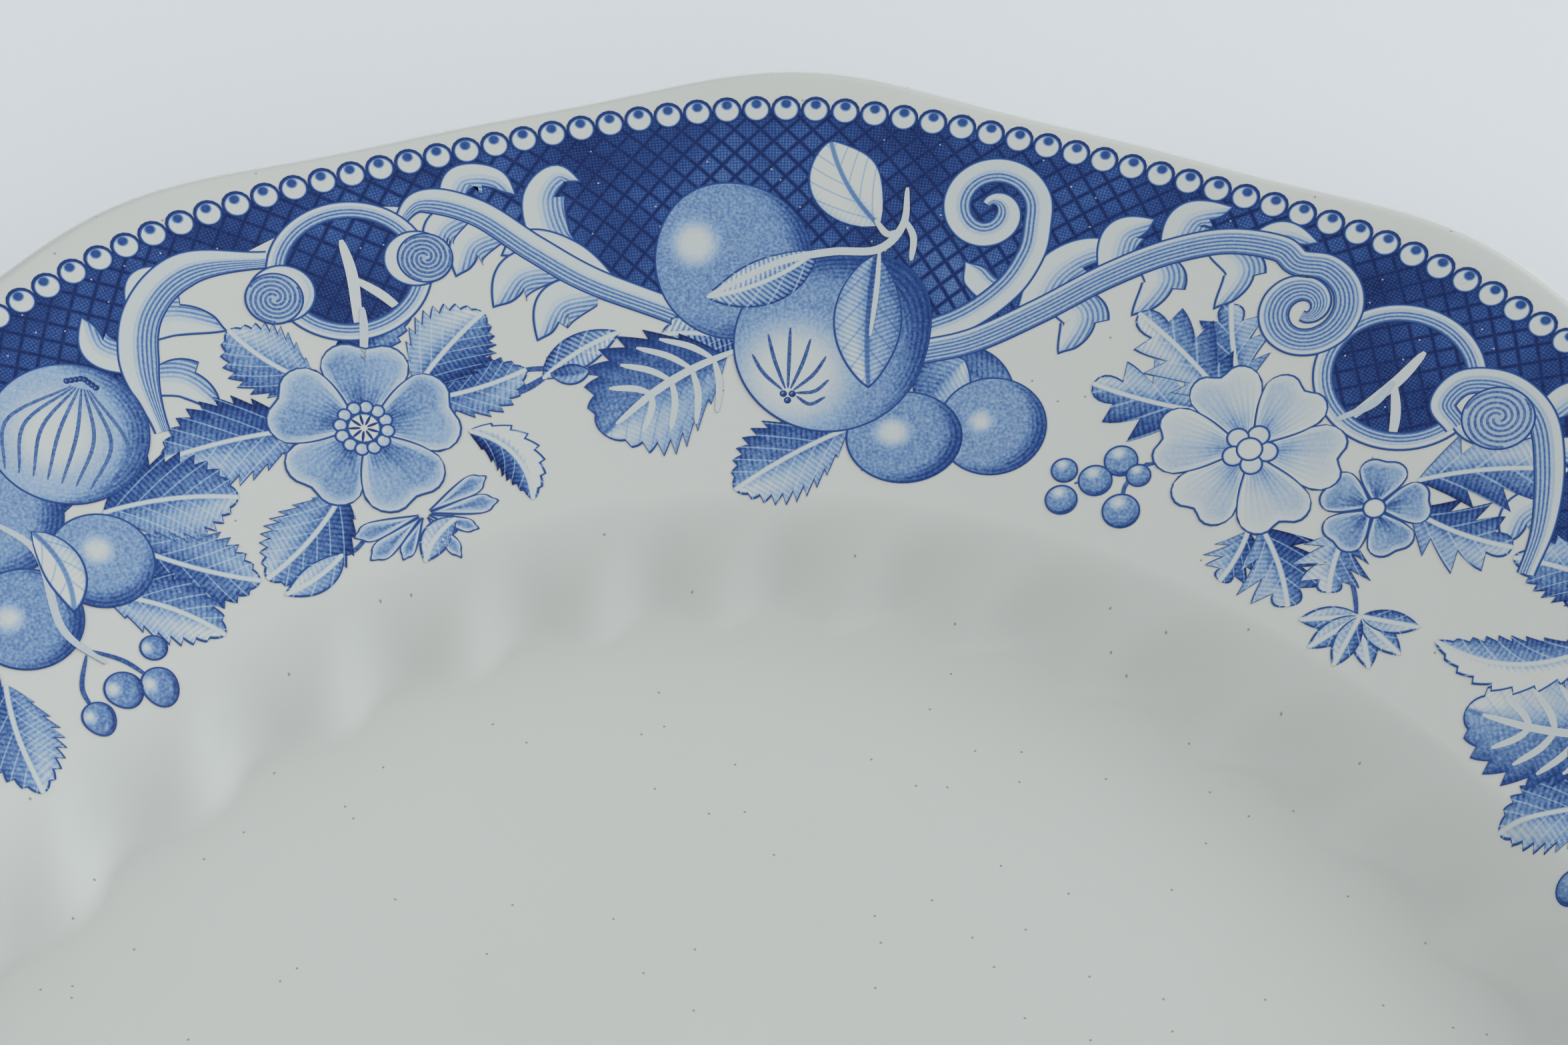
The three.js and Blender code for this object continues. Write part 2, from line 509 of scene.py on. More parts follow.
def bouge_section(shape, travel):
    """The bouge's section: the fluted fall on top, and a plain easy curve underneath."""
    outer, inner = shape.shoulder(travel), shape.bouge_foot(travel)
    top = inner + (outer - inner) * np.linspace(0, 1, 29)
    share = np.linspace(0, 1, 13)
    under = outer + (inner - outer) * share
    start = shape.rim_top(outer) - shape.mm["rim_thickness"]
    fall = share ** 2 * (3 - 2 * share)
    lean_in = shape.slope * (inner - outer) * share * (1 - share) ** 2
    bottom = start + (shape.underside - start) * fall - lean_in
    height = np.concatenate([shape.top(travel, top), bottom], axis=1)
    return np.concatenate([top, under], axis=1), height


def foot_section(shape, travel):
    """The foot ring's section: sides that draw in, a rounded tread, and a fillet under the body."""
    outer = shape.shoulder(travel) + shape.mm["bouge_width"] + shape.mm["foot_inset"]
    width, top = shape.mm["foot_width"], shape.underside + 0.4
    radius = width * 0.2
    cos, sin = arc(0.5, 0.75, 7)
    near = width / 8
    left = np.concatenate([[-0.1 * width, 0.0], near + radius + radius * cos])
    low = np.concatenate([[top, top - 1.2], radius + radius * sin])
    inwards = outer + np.concatenate([left, width - left[::-1]])[None, :]
    height = np.concatenate([low, low[::-1]])[None, :] + 0 * travel
    return inwards, height


def well_piece(name, shape):
    """The floor: a slab whose outline is the scalloped foot of the bouge, as rings that shrink
    to the middle above and below, each pole closed."""
    travel = np.arange(STATIONS)[:, None] / STATIONS
    outline = shape.place(travel, shape.bouge_foot(travel))[:, 0]
    rings_above, rings_below = 24, 12
    above, below = np.linspace(0.02, 1, rings_above), np.linspace(1, 0.02, rings_below)
    shares = np.concatenate([above, below]) ** 0.7
    count = len(shares)
    points = np.empty((STATIONS, count, 3))
    points[..., :2] = outline[:, None] * shares[:, None]
    points[..., 2] = np.where(np.arange(count) < rings_above, shape.floor, shape.underside)
    walls = ring_faces(STATIONS, count).reshape(STATIONS, count, 4)[:, :-1].reshape(-1, 4)
    # Fans of two ring steps to a face, so that every face has four corners.
    ring = np.arange(STATIONS) * count
    first, second, third = ring[::2], ring[1::2], np.roll(ring, -2)[::2]
    pole = np.full(len(first), STATIONS * count)
    last = count - 1
    cap = np.stack([pole, first, second, third], axis=1)
    base = np.stack([pole + 1, third + last, second + last, first + last], axis=1)
    every = np.concatenate([points.reshape(-1, 3), [[0, 0, shape.floor], [0, 0, shape.underside]]])
    faces = np.concatenate([walls, cap, base])
    return new_piece(name, every, faces, cream_glazed_earthenware())


# Print ------------------------------------------------------------------------------------------

class Patch:
    """A stretch of print on a grid of plan points, and what the ink does at each of them."""

    VALUES = ("tone", "hatch", "vein")
    PATTERNS = {"lines": ("phase", "contour"), "veins": ("vein_phase", "rib")}

    def __init__(self, points, layer, tone, hatch=0.0, phase=0.0, contour=9.0, vein=0.0,
                 vein_phase=0.5, rib=9.0, closed=False):
        self.points = points
        self.layer = layer
        self.closed = closed
        given = {
            "tone": tone, "hatch": hatch, "phase": phase, "contour": contour,
            "vein": vein, "vein_phase": vein_phase, "rib": rib,
        }
        self.ink = {key: np.broadcast_to(value, points.shape[:2]) for key, value in given.items()}

    def turned_up(self):
        """The same patch with its grid running anticlockwise, so that its faces look up."""
        along = np.diff(self.points, axis=0)[:, :-1]
        across = np.diff(self.points, axis=1)[:-1]
        if np.sum(along[..., 0] * across[..., 1] - along[..., 1] * across[..., 0]) < 0:
            self.points = self.points[:, ::-1]
            self.ink = {key: value[:, ::-1] for key, value in self.ink.items()}
        return self

    def faces(self):
        """Top, underside and walls of the patch as a thin closed body. The underside's points
        follow the top's, in the same order."""
        rows, columns = self.points.shape[:2]
        grid = np.arange(rows * columns).reshape(rows, columns)
        if self.closed:
            grid = np.concatenate([grid, grid[:1]])
            borders = [grid[:, 0], grid[::-1, -1]]
        else:
            borders = [np.concatenate([grid[:, 0], grid[-1, 1:], grid[-2::-1, -1], grid[0, -2::-1]])]
        corners = [grid[:-1, :-1], grid[1:, :-1], grid[1:, 1:], grid[:-1, 1:]]
        top = np.stack(corners, axis=-1).reshape(-1, 4)
        below = rows * columns
        walls = [np.stack([b[:-1], b[:-1] + below, b[1:] + below, b[1:]], axis=-1) for b in borders]
        return np.concatenate([top, top[:, ::-1] + below, *walls])


def print_piece(name, shape, patches, material):
    """One film of print: each patch laid on the glazed top at its layer's height."""
    patches = sorted((patch.turned_up() for patch in patches), key=lambda patch: patch.layer)
    for below, patch in zip(patches, patches[1:]):
        patch.layer = max(patch.layer, below.layer + LEAST_STEP)
    sizes = [patch.points[..., 0].size for patch in patches]
    plan = np.concatenate([patch.points.reshape(-1, 2) for patch in patches])
    above = np.repeat([patch.layer * FILM_STEP for patch in patches], sizes)
    high, normal = shape.lift(plan, above[:, None])
    low = high - normal * (above + FILM_ROOT)[:, None]
    starts = 2 * np.concatenate([[0], np.cumsum(sizes)])

    def both(upper, lower):
        """Upper and lower points of each patch in turn."""
        cuts = np.cumsum(sizes)[:-1]
        pairs = zip(np.split(upper, cuts), np.split(lower, cuts))
        return np.concatenate([part for pair in pairs for part in pair])

    faces = np.concatenate([patch.faces() + start for patch, start in zip(patches, starts)])
    piece = new_piece(name, both(high, low), faces, material)
    mesh = piece.data
    corner = np.empty(len(mesh.loops), np.int32)
    mesh.loops.foreach_get("vertex_index", corner)

    def gathered(key):
        flat = np.concatenate([patch.ink[key].ravel() for patch in patches])
        return both(flat, flat).astype(np.float32)

    for key in Patch.VALUES:
        mesh.attributes.new(key, "FLOAT", "POINT").data.foreach_set("value", gathered(key))
    for key, (first, second) in Patch.PATTERNS.items():
        pair = np.stack([gathered(first), gathered(second)], axis=1)
        mesh.uv_layers.new(name=key).data.foreach_set("uv", pair[corner].ravel())
    mesh.normals_split_custom_set_from_vertices(both(normal, normal))
    return piece


class Spot:
    """A place on the border line with its own axes: x clockwise along the rim, y out to the lip."""

    def __init__(self, shape, along):
        travel = 0.5 - along / AROUND
        self.origin = shape.place(travel, 0.0)
        out = self.origin - shape.place(travel, 1.0)
        self.axes = np.array([[out[1], -out[0]], out])

    def put(self, patch):
        patch.points = self.origin + patch.points @ self.axes
        return patch


def on_rim(shape, along, inwards):
    """Plan points from distances along the border line and in from it."""
    return shape.place(0.5 - np.asarray(along, float) / AROUND, np.asarray(inwards, float))


def left_of(way):
    """A plan vector, or an array of them, turned a quarter anticlockwise."""
    return np.stack([-way[..., 1], way[..., 0]], axis=-1)


def smooth(low, high, value):
    """0 up to low, 1 from high, and an S-shaped rise between."""
    share = np.clip((value - low) / (high - low), 0, 1)
    return share ** 2 * (3 - 2 * share)


def curve(points, count):
    """Evenly counted places on a cubic curve through the points, whose slope at each point is
    half the step between its neighbours."""
    points = np.array(points, float)
    slopes = np.gradient(points, axis=0)
    at = np.linspace(0, len(points) - 1, count)
    i = np.minimum(at.astype(int), len(points) - 2)
    f = (at - i)[:, None]
    return (
        points[i] * (2 * f ** 3 - 3 * f ** 2 + 1) + slopes[i] * (f ** 3 - 2 * f ** 2 + f)
        + points[i + 1] * (3 * f ** 2 - 2 * f ** 3) + slopes[i + 1] * (f ** 3 - f ** 2)
    )


def strip(line, half, rows, layer, tone, forward=0.0, **ink):
    """Print on both sides of a line: points at -1 to 1 times half the width, square to the line,
    and pushed forward along it by a share of how far out they are. Half the width is given for
    each place on the line, or for each place and row."""
    closed = ink.get("closed", False)
    way = np.gradient(line, axis=0)
    if closed:
        way = np.roll(line, -1, axis=0) - np.roll(line, 1, axis=0)
    way = way / np.linalg.norm(way, axis=1, keepdims=True)
    side = left_of(way)
    across = np.linspace(-1, 1, rows)
    out = np.atleast_2d(half.T).T * across
    ahead = forward * np.abs(out)
    points = line[:, None] + side[:, None] * out[..., None] + way[:, None] * ahead[..., None]
    return Patch(points, layer, tone, **ink)


STEM_ROWS = 9               # points across a stem, a horn or a ring of the scrollwork


def stroke(points, width, layer, tone, count=16):
    """A line of the engraver's: one tone, and narrower towards both ends."""
    share = np.linspace(0, 1, count)
    half = width / 2 * (0.35 + 0.65 * np.sin(np.pi * share) ** 0.5)
    return strip(curve(points, count), half, 3, layer, tone)


def scroll(line, width, layer, start=0.3, end=0.3, bare=-0.3):
    """A stem of the scrollwork: bare up to a share of its half width, ruled from there on, with a
    dark contour. Its width swells from its start's share to full and falls to its end's share."""
    count = len(line)
    share = np.linspace(0, 1, count)
    swell = start + (1 - start) * smooth(0, 0.3, share)
    fall = end + (1 - end) * smooth(1, 0.7, share)
    half = width / 2 * np.minimum(swell, fall)
    across = np.linspace(-1, 1, STEM_ROWS)
    shaded = smooth(bare, bare + 0.4, -across)
    return strip(
        line, half, STEM_ROWS, layer, 0.04 + 0.17 * shaded, hatch=0.9 * shaded,
        phase=across * width / 2 / 0.48, contour=(1 - np.abs(across)) * half[:, None],
    )


def leaf(base, tip, width, layer, tone, bend=0.0, teeth=9, bite=0.3, veins=6, vein=-1.0,
         shade=0.2, hatch=0.3):
    """A toothed leaf. Half its width is a skewed sine of the way along, each tooth widens it
    towards the tip and drops back, and the ribs leave the midrib at half a right angle."""
    base, tip = np.array(base, float), np.array(tip, float)
    count = teeth * 5 + 1
    share = np.linspace(0, 1, count)
    length = np.linalg.norm(tip - base)
    side = left_of(tip - base) / length
    line = base + (tip - base) * share[:, None] + side * (4 * bend * share * (1 - share))[:, None]
    half = width / 2 * np.sin(np.pi * share ** 0.75) ** 0.8
    saw = np.mod(teeth * share + 1e-6, 1)
    half = np.maximum(half * (1 + bite * (saw - 0.5)), 0.06)
    rows = 11
    across = np.linspace(-1, 1, rows)[None, :]
    out = half[:, None] * np.abs(across)
    share = share[:, None]
    lit = shade * np.tanh(2.5 * across) * 0.8 - 0.2 * np.sin(np.pi * np.abs(across))
    return strip(
        line, half, rows, layer, tone + lit + 0.34 * (0.45 - share), forward=0.45, hatch=hatch,
        phase=(length * share + 0.9 * out) / 0.62,
        contour=(1 - np.abs(across)) * half[:, None], vein=vein,
        vein_phase=veins * (share - 0.9 * out / length) + 0.5, rib=out,
    )


def ribs(base, tip, width, layer, bend=0.0, count=4, thick=0.8):
    """Bare ribs laid over a leaf: a midrib, and pairs that leave it at half a right angle."""
    base, tip = np.array(base, float), np.array(tip, float)
    way = tip - base
    side = left_of(way) / np.linalg.norm(way)
    middle = [base + way * f + side * (4 * bend * f * (1 - f)) for f in (0, 0.3, 0.6, 0.92)]
    lines = [stroke(middle, thick * 1.2, layer, 0.04, 20)]
    for f in np.arange(count) / (count + 0.6) * 0.7 + 0.16:
        root = base + way * f + side * (4 * bend * f * (1 - f))
        out = side * width * 0.5 * np.sin(np.pi * (f + 0.14) ** 0.75) * 0.8
        for turned in (out, -out):
            path = [root, root + turned * 0.5 + way * 0.07, root + turned + way * 0.2]
            lines.append(stroke(path, thick, layer + 0.2, 0.05, 10))
    return lines


def plain_leaf(base, tip, width, layer, tone, **ink):
    """A leaf with a smooth edge."""
    return leaf(base, tip, width, layer, tone, **{"teeth": 3, "bite": 0.0, "veins": 3, **ink})


def lobed_leaf(base, tip, width, layer, tone, **ink):
    """A leaf cut into a few deep rounded lobes."""
    return leaf(base, tip, width, layer, tone, **{"teeth": 4, "bite": 0.9, "veins": 4, **ink})


def petal(centre, direction, length, spread, layer, tone=0.34, notch=0.08, hatch=0.3):
    """A petal: its reach falls off towards its corners and dips at a notch, its tone is deepest at
    its root, and its margin is left bare."""
    share = np.linspace(0.1, 1, 12)[:, None]
    across = np.linspace(-1, 1, 15)[None, :]
    angle = direction + across * spread * (0.86 + 0.14 * np.sin(np.pi * share))
    reach = length * (1 - 0.2 * across ** 4 - notch * np.exp(-(across / 0.25) ** 2))
    radius = share * reach
    points = np.array(centre, float) + toward(angle, radius)
    contour = np.minimum((1 - share) * reach, (1 - np.abs(across)) * spread * radius)
    fold = 0.12 * np.exp(-((across - 0.15) / 0.12) ** 2) * smooth(1.0, 0.3, share)
    ink = tone + 0.26 * smooth(0.6, 0.12, share) + 0.1 * across + fold
    return Patch(
        points, layer, ink * smooth(0.3, 0.12 * length, contour),
        hatch=hatch * smooth(1.0, 0.2, share), phase=across * spread * length / 1.1,
        contour=contour,
    )


def disc_grid(cells):
    """A square grid pressed into a unit disc: x times the root of 1 less half of y squared."""
    x, y = np.meshgrid(np.linspace(-1, 1, cells + 1), np.linspace(-1, 1, cells + 1), indexing="ij")
    return np.stack([x * np.sqrt(1 - y ** 2 / 2), y * np.sqrt(1 - x ** 2 / 2)], axis=-1)


def fruit(centre, size, layer, tone=0.36, light=(-0.4, 0.35), bright=0.45, dark=0.3, bulge=0.0,
          bulge_way=0.0, cells=24):
    """A round fruit: its radius swells to a shoulder in one direction, a bare highlight sits at
    light, and a darker crescent runs round the side away from it."""
    unit = disc_grid(cells)
    angle = np.arctan2(unit[..., 1], unit[..., 0])
    turned = np.mod(angle - bulge_way + np.pi, TURN) - np.pi
    swell = 1 + bulge * np.exp(-(turned / 0.6) ** 2) * np.linalg.norm(unit, axis=-1) ** 2
    points = np.array(centre, float) + unit * swell[..., None] * np.array(size, float)
    light = np.array(light)
    from_light = np.linalg.norm(unit - light, axis=-1)
    far = np.linalg.norm(unit - 0.28 * light / np.linalg.norm(light), axis=-1)
    ink = tone * smooth(bright * 0.35, bright * 1.15, from_light) + dark * smooth(0.86, 1.2, far)
    radius = np.linalg.norm(unit, axis=-1)
    return Patch(
        points, layer, 0.03 + ink, hatch=0.25 * smooth(0.8, 1.1, far),
        phase=radius * min(size) / 0.5, contour=(1 - radius) * min(size),
    )


def berry(centre, radius, layer, tone=0.42):
    return fruit(centre, (radius, radius), layer, tone, bright=0.5, cells=8)


def whorl(centre, radius, turns, start, layer, width=0.3, tone=0.6, count=60, inner=0.12):
    """A spiral line: its radius grows evenly with its angle."""
    share = np.linspace(0, 1, count)
    angle = (start + turns * share) * TURN
    reach = radius * (inner + (1 - inner) * share)
    line = np.array(centre, float) + toward(angle, reach)
    return strip(line, np.full(count, width / 2), 3, layer, tone)


def boss(centre, radius, layer, start=0.0):
    """The curled end of a ring: a pale disc with a spiral drawn on it."""
    unit = disc_grid(12)
    disc = Patch(
        np.array(centre, float) + unit * radius, layer, 0.22,
        contour=(1 - np.linalg.norm(unit, axis=-1)) * radius,
    )
    return [disc, *(
        whorl(centre, radius * 0.92, 1.6, start + k / 3, layer + 0.5) for k in range(3)
    )]


def hoop(centre, radius, squash, width, layer):
    """A ring of the scrollwork, squashed a little, bare outside and ruled inside."""
    count = 72
    angle = np.arange(count) / count * TURN
    line = np.array(centre, float) + toward(angle, radius) * (1, squash)
    across = np.linspace(-1, 1, STEM_ROWS)
    shaded = smooth(-0.45, 0.0, across)
    return strip(
        line, np.full(count, width / 2), STEM_ROWS, layer, 0.04 + 0.17 * shaded,
        hatch=0.9 * shaded, phase=across * width / 2 / 0.45,
        contour=(1 - np.abs(across)) * width / 2, closed=True,
    )


# Drawing ----------------------------------------------------------------------------------------

# Where the dark ground gives way to the bare body below the scrollwork, as distances along and in.
GROUND_FOOT = (
    (-135.5, 25), (-110, 24), (-96, 22), (-89, 16), (-84, 7), (-78, 4.5), (-70, 5.5), (-62, 4.5),
    (-52, 4.5), (-46, 6.5), (-40, 9.5), (-34, 15.5), (-27, 21), (-16, 25.5), (4, 27), (20, 27),
    (28, 24), (36, 18), (43, 12), (49, 7.5), (56, 5), (66, 5), (72, 8), (78, 8), (86, 10), (94, 9.5),
    (100, 11), (106, 16.5), (112, 23), (122, 25), (135.5, 25),
)
CELL = REPEAT / 88          # the lattice's cells, corner to corner, a whole number to a repeat
RING_GROUND_LAYER = 2       # the layer of the dark ground seen through the rings, and of nothing else


def bead_line(along):
    """The bead row swings outwards with the lobes, less than the lip does."""
    return -0.4 - 0.8 * np.cos(TURN * LOBES * along / AROUND)


def ground_patch(shape, start, end):
    """Dark ground from just under the beads down to the scrollwork."""
    along = np.linspace(start, end, int(end - start) + 1)
    near = np.mod(along + REPEAT / 2, REPEAT) - REPEAT / 2
    foot = np.interp(near, *np.array(GROUND_FOOT).T)
    inwards = bead_line(along)[:, None] + (foot - bead_line(along))[:, None] * np.linspace(0, 1, 13)
    alongs = np.broadcast_to(along[:, None], inwards.shape)
    return Patch(on_rim(shape, alongs, inwards), 1, 0.9, phase=alongs / CELL, contour=inwards / CELL)


def ground_disc(centre, radius):
    """Dark ground seen through a ring."""
    disc = disc_grid(14) * radius
    along, inwards = np.moveaxis(disc, -1, 0) / CELL
    return Patch(centre + disc, RING_GROUND_LAYER, 0.9, phase=along, contour=inwards)


def bead_patch(shape, index):
    """One bead, a disc that reaches to its neighbours. Its pattern runs from -1.5 to 1.5."""
    along = (index + 0.5) * AROUND / BEADS
    radius = 0.5 * AROUND / BEADS
    disc = disc_grid(4) * radius
    right, out = np.moveaxis(disc, -1, 0) * 1.5 / radius
    patch = Patch(disc + (0, -bead_line(along)), 3, 0.0, phase=right, contour=out)
    return Spot(shape, along).put(patch)


def run_scroll(shape, offset, points, width, layer, **ends):
    """A stem whose points are distances along and in, shifted along by an offset."""
    along, inwards = curve(points, 10 * len(points)).T
    return scroll(on_rim(shape, along + offset, inwards), width, layer, **ends)


def horn(shape, offset, points, width, shade=-1.0, teeth=2):
    """An acanthus tip. Half its width is a sine that starts full at the root and ends in a point,
    and its shaded side is cut into teeth that widen towards the tip and drop back."""
    count = 12 * teeth + 7
    along, inwards = curve(points, count).T
    share = np.linspace(0, 1, count)
    across = np.linspace(-1, 1, STEM_ROWS)
    half = width / 2 * np.sin(np.pi * (0.28 + 0.72 * share)) ** 0.9
    saw = np.mod(teeth * share + 1e-6, 1) * smooth(1.0, 0.8, share)
    toothed = half[:, None] * (1 + 0.7 * saw[:, None] * smooth(0.0, 1.0, across * shade))
    shaded = smooth(-0.2, 0.7, across * shade)
    line = on_rim(shape, along + offset, inwards)
    return strip(
        line, toothed, STEM_ROWS, 4.2, 0.03 + 0.16 * shaded, forward=0.35, hatch=0.8 * shaded,
        phase=toothed * across / 0.55, contour=(1 - np.abs(across)) * toothed,
    )


def spiral(centre, radius, start, sweep, inner=0.9, count=18):
    """Places along and in on a spiral, from its eye outwards, that ends at the start's angle."""
    share = np.linspace(0, 1, count)
    angle = np.radians(start + sweep * (1 - share))
    reach = inner + (radius - inner) * share
    return [(centre[0] + r * np.cos(a), centre[1] - r * np.sin(a)) for r, a in zip(reach, angle)]


def twig(points):
    """A bare forked twig left white in the dark ground."""
    fork = np.array(points[1], float)
    branch = [fork, fork + (2.2, -3.0), fork + (3.8, -6.2)]
    return [stroke(points, 1.3, 4, 0.03), stroke(branch, 1.1, 4, 0.03)]


def ring_group(shape, along, low, radius, left, right):
    """Overlapping rings with curled ends, dark ground inside, and a white twig."""
    spot = Spot(shape, along)
    centre = np.array((0.0, -low))
    patches = [
        ground_disc(centre, radius * 0.95),
        hoop(centre, radius, 0.94, 2.3, 6),
    ]
    for x, y, size, start in (left, right):
        if not size:
            continue
        curled = centre + (x, y)
        inner = np.array((-np.sign(x), 0.3)) * size * 0.32
        backing = (size * 1.16, size * 1.12)
        patches.append(fruit(curled + inner, backing, 7, tone=0.0, bright=0.9, dark=0.06, cells=12))
        patches += boss(curled, size, 8, start)
    patches += twig([(0.6, -low + 4), (0.0, -low - 1), (-2.0, -low - 8)])
    return [spot.put(patch) for patch in patches]


def scrollwork_to_orchard(shape, offset):
    """From the basket's edge through the small rings to the orchard fruit."""
    stems = (
        ([(-89, 21), (-86.5, 13), (-82, 7), (-75, 4.4), (-66, 7)], 4.6, 0.4, 0.5),
        ([(-50, 8), (-46, 5.6), (-40, 8.5), (-34, 14.6), (-27, 20), (-15, 25.5)], 3.6, 0.4, 0.9),
    )
    horns = (
        ([(-84, 9), (-79.5, 9.6), (-74.6, 13.4)], 4.4, 1, 2),
        ([(-87, 15), (-83, 17), (-81, 22)], 4.0, 1, 2),
        ([(-86, 13), (-89.6, 9), (-88.6, 4.2)], 3.6, -1, 2),
        ([(-83, 7), (-80.6, 3.6), (-77.4, 2.8)], 3.0, -1, 1),
        ([(-27, 20), (-31.6, 14.5), (-32.2, 8.6), (-29.4, 5.4), (-26.4, 7.0)], 4.2, -1, 2),
        ([(-26, 20.6), (-30, 16.4), (-34.6, 13.6), (-38.6, 14.6)], 4.6, 1, 3),
        ([(-31, 17), (-37, 17), (-41.6, 20.8)], 4.8, 1, 2),
        ([(-27, 21), (-33, 21.6), (-37, 26)], 4.6, 1, 3),
        ([(-37, 11), (-42, 12), (-45, 16)], 4.2, 1, 2),
        ([(-41, 8), (-45, 9.4), (-47.6, 13.4)], 3.6, 1, 2),
        ([(-43, 6.6), (-40.6, 3.8), (-36.6, 4.6), (-34.6, 7.6)], 3.4, -1, 2),
    )
    patches = [
        run_scroll(shape, offset, line, width, 5, start=start, end=end)
        for line, width, start, end in stems
    ]
    patches += [horn(shape, offset, line, width, shade, teeth) for line, width, shade, teeth in horns]
    return patches + ring_group(
        shape, offset - 57.4, 11.6, 8.3, (-9.2, -0.6, 3.3, 0.1), (8.6, -1.4, 3.2, 0.4),
    )


def scrollwork_to_basket(shape, offset):
    """From the orchard fruit through a large spiral and rings to the basket's edge."""
    stems = (
        (
            spiral((24.2, 9.6), 6.2, -5, 500) + [(30.7, 14.2), (28.9, 19.2), (24, 24), (15.6, 28)],
            3.3, 0.4, 1.0, 7, -0.1,
        ),
        ([(29.6, 19.4), (26.2, 19.4), (22.2, 16.4)], 3.4, 0.8, 0.03, 6.5, 0.2),
        (
            [(17, 29.4), (26, 26.4), (34, 21), (41, 14.6), (47, 9.6), (53, 6), (59, 4.6)]
            + spiral((65.4, 10.4), 6.1, 125, -560)[::-1],
            3.5, 0.9, 0.4, 7, -0.8,
        ),
        (
            [(90, 14.6), (86.8, 13.2), (87.2, 9.6), (91.6, 7.4), (97, 8.4), (102, 12.6), (107, 18.6),
             (110, 24)],
            3.4, 0.8, 0.6, 7.2, -0.4,
        ),
    )
    horns = (
        ([(33, 21.6), (34, 16), (37.6, 12), (42.6, 10.4)], 4.4, -1, 2),
        ([(41, 14), (40.6, 9), (44, 6)], 4.0, -1, 2),
        ([(36, 19), (39.4, 20.6), (38.6, 25.6)], 4.4, 1, 2),
        ([(45, 11), (47.4, 13.4), (46, 18.6)], 4.0, 1, 2),
        ([(52, 7), (56, 9), (55.4, 14.6)], 3.8, 1, 2),
        ([(47, 9), (47.6, 4.4), (52, 1.6)], 4.0, -1, 3),
        ([(56, 5), (58.6, 2.4), (63, 2.2)], 3.0, -1, 2),
        ([(97, 8), (98.4, 4), (103, 3)], 3.6, -1, 2),
        ([(101, 10.4), (105.6, 8.6), (109.4, 10.6)], 3.8, -1, 2),
        ([(99, 9), (97.4, 14), (99.6, 18.6)], 4.0, 1, 2),
        ([(105, 15), (103.4, 19), (105, 23)], 3.8, 1, 2),
    )
    patches = [
        run_scroll(shape, offset, line, width, layer, start=start, end=end, bare=bare)
        for line, width, start, end, layer, bare in stems
    ]
    patches += [horn(shape, offset, line, width, shade, teeth) for line, width, shade, teeth in horns]
    return patches + ring_group(
        shape, offset + 80.3, 12.8, 8.5, (-20, 0, 0, 0), (12.0, 1.0, 4.0, 0.6),
    )


def drawn_at(place):
    """Turns a drawing in a spot's own axes into one that is laid on the rim, that far along it
    from the offset of each repeat."""
    def laid_by(draw):
        @functools.wraps(draw)
        def laid(shape, offset):
            spot = Spot(shape, offset + place)
            return [spot.put(patch) for patch in draw()]
        return laid
    return laid_by


@drawn_at(0.0)
def orchard_fruit():
    """An apple behind a quince, and two plums below."""
    patches = [
        fruit(
            (-6.9, -18.9), (9.0, 9.9), 8, 0.40, (-0.5, 0.2), bright=0.34, bulge=0.07, bulge_way=2.2,
        ),
        fruit((12.9, -40.4), (6.5, 5.6), 8, 0.40, (-0.2, 0.1), bright=0.36, cells=16),
        fruit((22.6, -39.2), (6.1, 6.0), 7, 0.38, (-0.2, 0.1), bright=0.26, cells=16),
        fruit(
            (4.2, -28.9), (10.8, 11.0), 10, 0.40, (-0.36, -0.36), bright=0.74, bulge=0.2,
            bulge_way=0.75,
        ),
    ]
    blossom = np.array((-0.2, -35.6))
    for turn_by, length in (
        (0.20, 7.5), (0.25, 8.5), (0.30, 8.0), (0.36, 6.5), (0.14, 6.5), (0.07, 5.0), (0.0, 4.2),
    ):
        way = toward(turn_by * TURN)
        side = left_of(way) * (turn_by - 0.25) * 6
        hair = [way, way * length * 0.6 + side * 0.6, way * length]
        patches.append(stroke(blossom + hair, 0.42, 11, 0.68))
    for spread in ((-0.5, 0.3), (0.5, 0.3), (0, -0.5)):
        patches.append(berry(blossom + spread, 0.4, 12, 0.75))
    return patches


